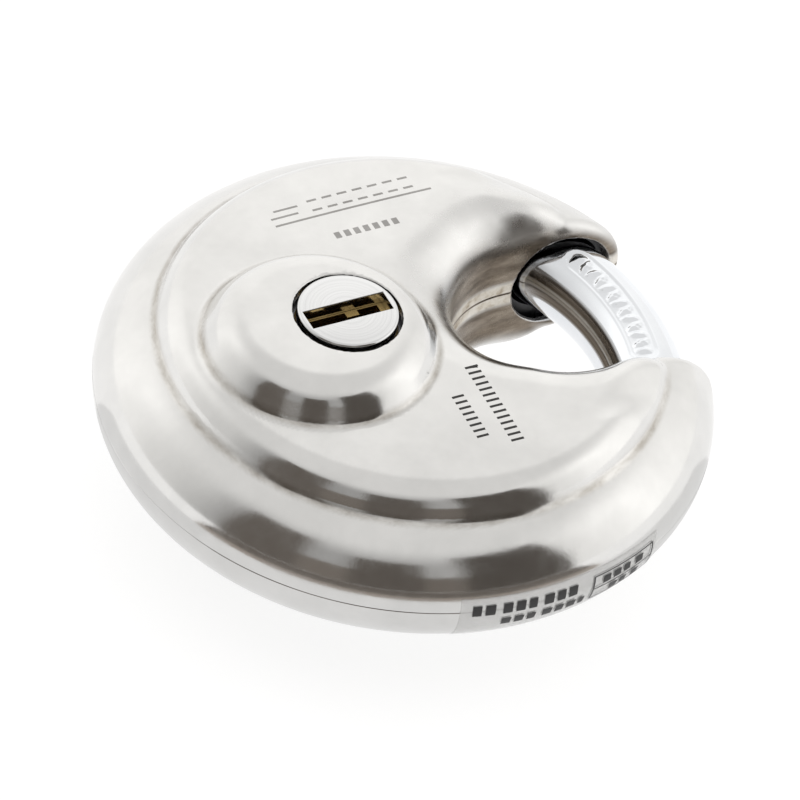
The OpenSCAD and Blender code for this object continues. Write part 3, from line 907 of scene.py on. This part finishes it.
def reflector(name, angles, near, far, material):
    """A strip that only reflections show. near and far are (reach from the centre, height)."""
    pts = []
    for angle in angles:
        a = math.radians(angle) + TURN_LEFT
        for reach, z in (near, far):
            pts.append((CENTRE[0] + reach * math.sin(a), CENTRE[1] - reach * math.cos(a), z))
    faces = [[2 * i, 2 * i + 2, 2 * i + 3, 2 * i + 1] for i in range(len(angles) - 1)]
    ob = stage_mesh(name, pts, faces, material)
    ob.visible_camera = False
    ob.visible_shadow = False
    ob.visible_diffuse = False


half = 3.0
stage_mesh("floor", [(-half, -half, 0), (half, -half, 0), (half, half, 0), (-half, half, 0)],
           [[0, 1, 2, 3]], glowing_material("floor_white", 0.42, 0.9, (1, 1, 1), 0.73))

# The camera looks down from the left of the key's side, nearly at the disc's centre. The distance
# and the two shifts are in millimetres.
TURN_LEFT, RAISE, ROLL = math.radians(-32.8), math.radians(43.529), math.radians(9.546)
DISTANCE, SHIFT_RIGHT, SHIFT_UP, LENS = 1872.189, -0.373, -0.862, 753.29
side = np.array([math.cos(TURN_LEFT), math.sin(TURN_LEFT), 0])
front = np.array([math.sin(TURN_LEFT), -math.cos(TURN_LEFT), 0])
back = np.array([front[0] * math.cos(RAISE), front[1] * math.cos(RAISE), math.sin(RAISE)])
above = np.cross(back, side)
right = math.cos(ROLL) * side + math.sin(ROLL) * above
up = -math.sin(ROLL) * side + math.cos(ROLL) * above
spot = CENTRE + (back * DISTANCE + right * SHIFT_RIGHT + up * SHIFT_UP) * MM
cam_data = bpy.data.cameras.new("camera")
cam_data.sensor_width = 36.0
cam_data.lens = LENS
cam_data.clip_end = 20
cam = new_object("camera", cam_data)
cam.matrix_world = Matrix([*zip(right, up, back, spot), (0, 0, 0, 1)])
bpy.context.scene.camera = cam

# Soft white surroundings: even overhead, and low down brightest on the right and dim on the
# camera's side
world = bpy.data.worlds.new("tent")
world.use_nodes = True
nodes, links = world.node_tree.nodes, world.node_tree.links
direction = nodes.new("ShaderNodeTexCoord").outputs["Generated"]


def world_math(operation, *values):
    node = nodes.new("ShaderNodeMath")
    node.operation = operation
    for socket, value in zip(node.inputs, values):
        if isinstance(value, (int, float)):
            socket.default_value = value
        else:
            links.new(value, socket)
    return node.outputs["Value"]


def along(axis):
    node = nodes.new("ShaderNodeVectorMath")
    node.operation = "DOT_PRODUCT"
    node.inputs[1].default_value = tuple(axis)
    links.new(direction, node.inputs[0])
    return node.outputs["Value"]


# Shades by the angle to the right of the camera, in degrees
LOW_SHADES = ((-180, 1.18), (-150, 1.10), (-115, 1.25), (-90, 0.90), (-70, 0.72), (-54, 0.40),
              (-30, 0.40), (52, 0.50), (56, 0.86), (78, 1.05), (102, 1.36), (130, 1.15),
              (152, 1.00), (179, 1.18))
OVERHEAD = (0.83, 0.825, 0.815, 1)
angle = world_math("ARCTAN2", along(side), along(front))
turn = world_math("ADD", world_math("DIVIDE", angle, 2 * math.pi), 0.5)
low_ring = add_ramp(nodes, links, turn, [
    ((degrees + 180) / 360, (shade, shade * 0.995, shade * 0.98))
    for degrees, shade in LOW_SHADES])
height = nodes.new("ShaderNodeMapRange")
height.interpolation_type = "SMOOTHSTEP"
height.inputs["From Min"].default_value = math.radians(36)
height.inputs["From Max"].default_value = math.radians(62)
links.new(world_math("ARCSINE", along((0, 0, 1))), height.inputs["Value"])
links.new(add_mix(nodes, links, height.outputs["Result"], low_ring, OVERHEAD),
          nodes["Background"].inputs["Color"])
bpy.context.scene.world = world

# Dark cards low on the camera's side, with brighter gaps, which give the metal its dark bands:
# each one's two angles, its lowest and highest elevation, and its shade
card_reach, lowest_z = 0.75, 0.003
for k, (a0, a1, e0, e1, shade) in enumerate((
        (-52, -25, -8, 48, 0.14), (-25, -8, -8, 22, 0.20), (-8, 17, -8, 41, 0.12),
        (17, 31, -8, 22, 0.18), (31, 66, -8, 49, 0.09))):
    bottom, top = [(card_reach, max(CENTRE[2] + card_reach * math.tan(math.radians(e)), lowest_z))
                   for e in (e0, e1)]
    reflector("card_%d" % k, [a0 + (a1 - a0) * i / 12 for i in range(13)], bottom, top,
              card_material("card_shade_%d" % k, shade))

# Boards lying in front of the object, grey beside it and dark further off
for name, near, far, wide, card in (
        ("board_beside", 0.001, 0.084, 100, card_material("board_grey", 0.84, 1.0)),
        ("board_near", 0.084, 0.115, 59, card_material("board_dim", 0.36)),
        ("board_far", 0.115, 0.745, 59, card_material("board_dark", 0.15))):
    reflector(name, [7 + wide * (i / 6 - 1) for i in range(13)], (near, 0.001), (far, 0.001), card)

scene = bpy.context.scene
scene.view_settings.view_transform = "Standard"
scene.view_settings.look = "None"
